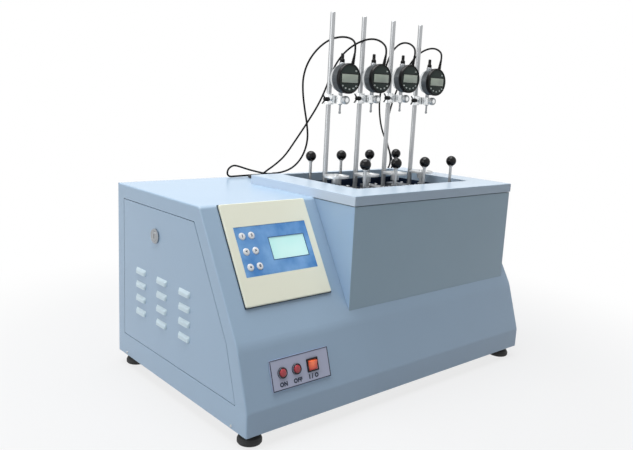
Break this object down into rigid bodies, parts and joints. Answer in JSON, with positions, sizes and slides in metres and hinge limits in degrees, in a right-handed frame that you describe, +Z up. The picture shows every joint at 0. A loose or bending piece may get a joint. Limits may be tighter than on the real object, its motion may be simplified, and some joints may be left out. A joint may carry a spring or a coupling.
{
  "type": "heat deflection and Vicat softening tester",
  "caption": "Bench tester with a sloping cabinet, an oil bath and test frames, each with a load rod, a weight tray and a digital indicator on a post",
  "frame": {"origin": "on the ground, below the middle of the cabinet's width and depth", "axes": "+X along the front to the right as seen from the front, +Y from the front to the back, +Z up"},
  "size_m": [0.744, 0.463, 0.725],
  "materials": {
    "cabinet_paint": "satin blue-grey powder coat",
    "bath_paint": "satin grey powder coat",
    "pan_steel": "mill finish",
    "motor_black": "matte",
    "turned_steel": "turned",
    "frame_steel": "ground",
    "clamp_steel": "satin",
    "black_plastic": "satin",
    "cable_rubber": "satin",
    "foot_rubber": "matte",
    "bezel_cream": "satin",
    "membrane_blue": "satin film",
    "display_cyan": "backlit window",
    "plate_grey": "satin",
    "key_white": "gloss",
    "button_red": "gloss",
    "rocker_orange": "lit gloss",
    "lock_chrome": "polished"
  },
  "bodies": {
    "cabinet": {"cabinet_shell": "cabinet_paint", "base_pan": "pan_steel", "rear_panel": "cabinet_paint", "mains_inlet": "black_plastic", "bath_housing": "bath_paint", "bath_rim": "bath_paint", "oil_tank": "pan_steel", "bath_deck": "pan_steel", "temperature_probe": "pan_steel", "heater": "pan_steel", "stirrer_motor": "motor_black", "control_bezel": "bezel_cream", "membrane_panel": "membrane_blue", "display_window": "display_cyan", "switch_plate": "plate_grey", "cable_glands": "black_plastic", "cable_1": "cable_rubber", "cable_2": "cable_rubber", "cable_3": "cable_rubber", "cable_4": "cable_rubber"},
    "door": {"access_panel": "cabinet_paint"},
    "door_lock": {"panel_lock": "lock_chrome"},
    "stirrer": {"stirrer_shaft": "turned_steel"},
    "button_1": {"push_button_1": "button_red"},
    "button_2": {"push_button_2": "button_red"},
    "rocker": {"rocker": "rocker_orange"},
    "foot_1": {"foot_1": "foot_rubber"},
    "foot_2": {"foot_2": "foot_rubber"},
    "foot_3": {"foot_3": "foot_rubber"},
    "foot_4": {"foot_4": "foot_rubber"},
    "key_1": {"key_1": "key_white"},
    "key_2": {"key_2": "key_white"},
    "key_3": {"key_3": "key_white"},
    "key_4": {"key_4": "key_white"},
    "key_5": {"key_5": "key_white"},
    "key_6": {"key_6": "key_white"},
    "station_1": {"test_frame_1": "frame_steel"},
    "load_rod_1": {"load_rod_1": "turned_steel"},
    "carriage_1": {"clamp_1": "clamp_steel", "indicator_1": "black_plastic"},
    "spindle_1": {"spindle_1": "turned_steel"},
    "wing_screw_1": {"wing_screw_1": "black_plastic"},
    "station_2": {"test_frame_2": "frame_steel"},
    "load_rod_2": {"load_rod_2": "turned_steel"},
    "carriage_2": {"clamp_2": "clamp_steel", "indicator_2": "black_plastic"},
    "spindle_2": {"spindle_2": "turned_steel"},
    "wing_screw_2": {"wing_screw_2": "black_plastic"},
    "station_3": {"test_frame_3": "frame_steel"},
    "load_rod_3": {"load_rod_3": "turned_steel"},
    "carriage_3": {"clamp_3": "clamp_steel", "indicator_3": "black_plastic"},
    "spindle_3": {"spindle_3": "turned_steel"},
    "wing_screw_3": {"wing_screw_3": "black_plastic"},
    "station_4": {"test_frame_4": "frame_steel"},
    "load_rod_4": {"load_rod_4": "turned_steel"},
    "carriage_4": {"clamp_4": "clamp_steel", "indicator_4": "black_plastic"},
    "spindle_4": {"spindle_4": "turned_steel"},
    "wing_screw_4": {"wing_screw_4": "black_plastic"}
  },
  "joints": [
    {"name": "door_hinge", "type": "hinge", "parent": "cabinet", "child": "door", "pos_m": [-0.3678, 0, 0.0703], "axis": [0, -1, 0], "range_deg": [0, 90]},
    {"name": "lock_turn", "type": "hinge", "parent": "door", "child": "door_lock", "pos_m": [-0.368, 0.073, 0.294], "axis": [1, 0, 0], "range_deg": [0, 90]},
    {"name": "stirrer_turn", "type": "hinge", "parent": "cabinet", "child": "stirrer", "pos_m": [0.118, -0.003, 0.15], "axis": [0, 0, 1], "continuous": true},
    {"name": "button_press_1", "type": "slide", "parent": "cabinet", "child": "button_1", "axis": [0, 0.9529, -0.3032], "range_m": [0, 0.0025], "stiffness_N_per_m": 300, "springref_m": -0.0015},
    {"name": "button_press_2", "type": "slide", "parent": "cabinet", "child": "button_2", "axis": [0, 0.9529, -0.3032], "range_m": [0, 0.0025], "stiffness_N_per_m": 300, "springref_m": -0.0015},
    {"name": "rocker_tip", "type": "hinge", "parent": "cabinet", "child": "rocker", "pos_m": [-0.2285, -0.21484, 0.11165], "axis": [1, 0, 0], "range_deg": [-18, 0]},
    {"name": "foot_thread_1", "type": "hinge", "parent": "cabinet", "child": "foot_1", "pos_m": [-0.344, -0.203, 0.024], "axis": [0, 0, 1], "continuous": true},
    {"name": "foot_thread_2", "type": "hinge", "parent": "cabinet", "child": "foot_2", "pos_m": [0.344, -0.203, 0.024], "axis": [0, 0, 1], "continuous": true},
    {"name": "foot_thread_3", "type": "hinge", "parent": "cabinet", "child": "foot_3", "pos_m": [-0.344, 0.203, 0.024], "axis": [0, 0, 1], "continuous": true},
    {"name": "foot_thread_4", "type": "hinge", "parent": "cabinet", "child": "foot_4", "pos_m": [0.344, 0.203, 0.024], "axis": [0, 0, 1], "continuous": true},
    {"name": "key_press_1", "type": "slide", "parent": "cabinet", "child": "key_1", "axis": [0, 0.8636, -0.5041], "range_m": [0, 0.0005], "stiffness_N_per_m": 800, "springref_m": -0.0005},
    {"name": "key_press_2", "type": "slide", "parent": "cabinet", "child": "key_2", "axis": [0, 0.8636, -0.5041], "range_m": [0, 0.0005], "stiffness_N_per_m": 800, "springref_m": -0.0005},
    {"name": "key_press_3", "type": "slide", "parent": "cabinet", "child": "key_3", "axis": [0, 0.8636, -0.5041], "range_m": [0, 0.0005], "stiffness_N_per_m": 800, "springref_m": -0.0005},
    {"name": "key_press_4", "type": "slide", "parent": "cabinet", "child": "key_4", "axis": [0, 0.8636, -0.5041], "range_m": [0, 0.0005], "stiffness_N_per_m": 800, "springref_m": -0.0005},
    {"name": "key_press_5", "type": "slide", "parent": "cabinet", "child": "key_5", "axis": [0, 0.8636, -0.5041], "range_m": [0, 0.0005], "stiffness_N_per_m": 800, "springref_m": -0.0005},
    {"name": "key_press_6", "type": "slide", "parent": "cabinet", "child": "key_6", "axis": [0, 0.8636, -0.5041], "range_m": [0, 0.0005], "stiffness_N_per_m": 800, "springref_m": -0.0005},
    {"name": "frame_lift_1", "type": "slide", "parent": "cabinet", "child": "station_1", "axis": [0, 0, 1], "range_m": [0, 0.2], "deforming": ["cable_1"]},
    {"name": "load_slide_1", "type": "slide", "parent": "station_1", "child": "load_rod_1", "axis": [0, 0, 1], "range_m": [0, 0.02]},
    {"name": "carriage_slide_1", "type": "slide", "parent": "station_1", "child": "carriage_1", "axis": [0, 0, 1], "range_m": [-0.1, 0.12], "deforming": ["cable_1"]},
    {"name": "spindle_travel_1", "type": "slide", "parent": "carriage_1", "child": "spindle_1", "axis": [0, 0, 1], "range_m": [0, 0.0127], "stiffness_N_per_m": 40, "springref_m": -0.01},
    {"name": "wing_turn_1", "type": "hinge", "parent": "carriage_1", "child": "wing_screw_1", "pos_m": [-0.0094, 0.009, 0.5535], "axis": [1, 0, 0], "continuous": true},
    {"name": "frame_lift_2", "type": "slide", "parent": "cabinet", "child": "station_2", "axis": [0, 0, 1], "range_m": [0, 0.2], "deforming": ["cable_2"]},
    {"name": "load_slide_2", "type": "slide", "parent": "station_2", "child": "load_rod_2", "axis": [0, 0, 1], "range_m": [0, 0.02]},
    {"name": "carriage_slide_2", "type": "slide", "parent": "station_2", "child": "carriage_2", "axis": [0, 0, 1], "range_m": [-0.1, 0.12], "deforming": ["cable_2"]},
    {"name": "spindle_travel_2", "type": "slide", "parent": "carriage_2", "child": "spindle_2", "axis": [0, 0, 1], "range_m": [0, 0.0127], "stiffness_N_per_m": 40, "springref_m": -0.01},
    {"name": "wing_turn_2", "type": "hinge", "parent": "carriage_2", "child": "wing_screw_2", "pos_m": [0.0784, 0.009, 0.5577], "axis": [1, 0, 0], "continuous": true},
    {"name": "frame_lift_3", "type": "slide", "parent": "cabinet", "child": "station_3", "axis": [0, 0, 1], "range_m": [0, 0.2], "deforming": ["cable_3"]},
    {"name": "load_slide_3", "type": "slide", "parent": "station_3", "child": "load_rod_3", "axis": [0, 0, 1], "range_m": [0, 0.02]},
    {"name": "carriage_slide_3", "type": "slide", "parent": "station_3", "child": "carriage_3", "axis": [0, 0, 1], "range_m": [-0.1, 0.12], "deforming": ["cable_3"]},
    {"name": "spindle_travel_3", "type": "slide", "parent": "carriage_3", "child": "spindle_3", "axis": [0, 0, 1], "range_m": [0, 0.0127], "stiffness_N_per_m": 40, "springref_m": -0.01},
    {"name": "wing_turn_3", "type": "hinge", "parent": "carriage_3", "child": "wing_screw_3", "pos_m": [0.1662, 0.009, 0.5614], "axis": [1, 0, 0], "continuous": true},
    {"name": "frame_lift_4", "type": "slide", "parent": "cabinet", "child": "station_4", "axis": [0, 0, 1], "range_m": [0, 0.2], "deforming": ["cable_4"]},
    {"name": "load_slide_4", "type": "slide", "parent": "station_4", "child": "load_rod_4", "axis": [0, 0, 1], "range_m": [0, 0.02]},
    {"name": "carriage_slide_4", "type": "slide", "parent": "station_4", "child": "carriage_4", "axis": [0, 0, 1], "range_m": [-0.1, 0.12], "deforming": ["cable_4"]},
    {"name": "spindle_travel_4", "type": "slide", "parent": "carriage_4", "child": "spindle_4", "axis": [0, 0, 1], "range_m": [0, 0.0127], "stiffness_N_per_m": 40, "springref_m": -0.01},
    {"name": "wing_turn_4", "type": "hinge", "parent": "carriage_4", "child": "wing_screw_4", "pos_m": [0.254, 0.009, 0.5585], "axis": [1, 0, 0], "continuous": true}
  ]
}
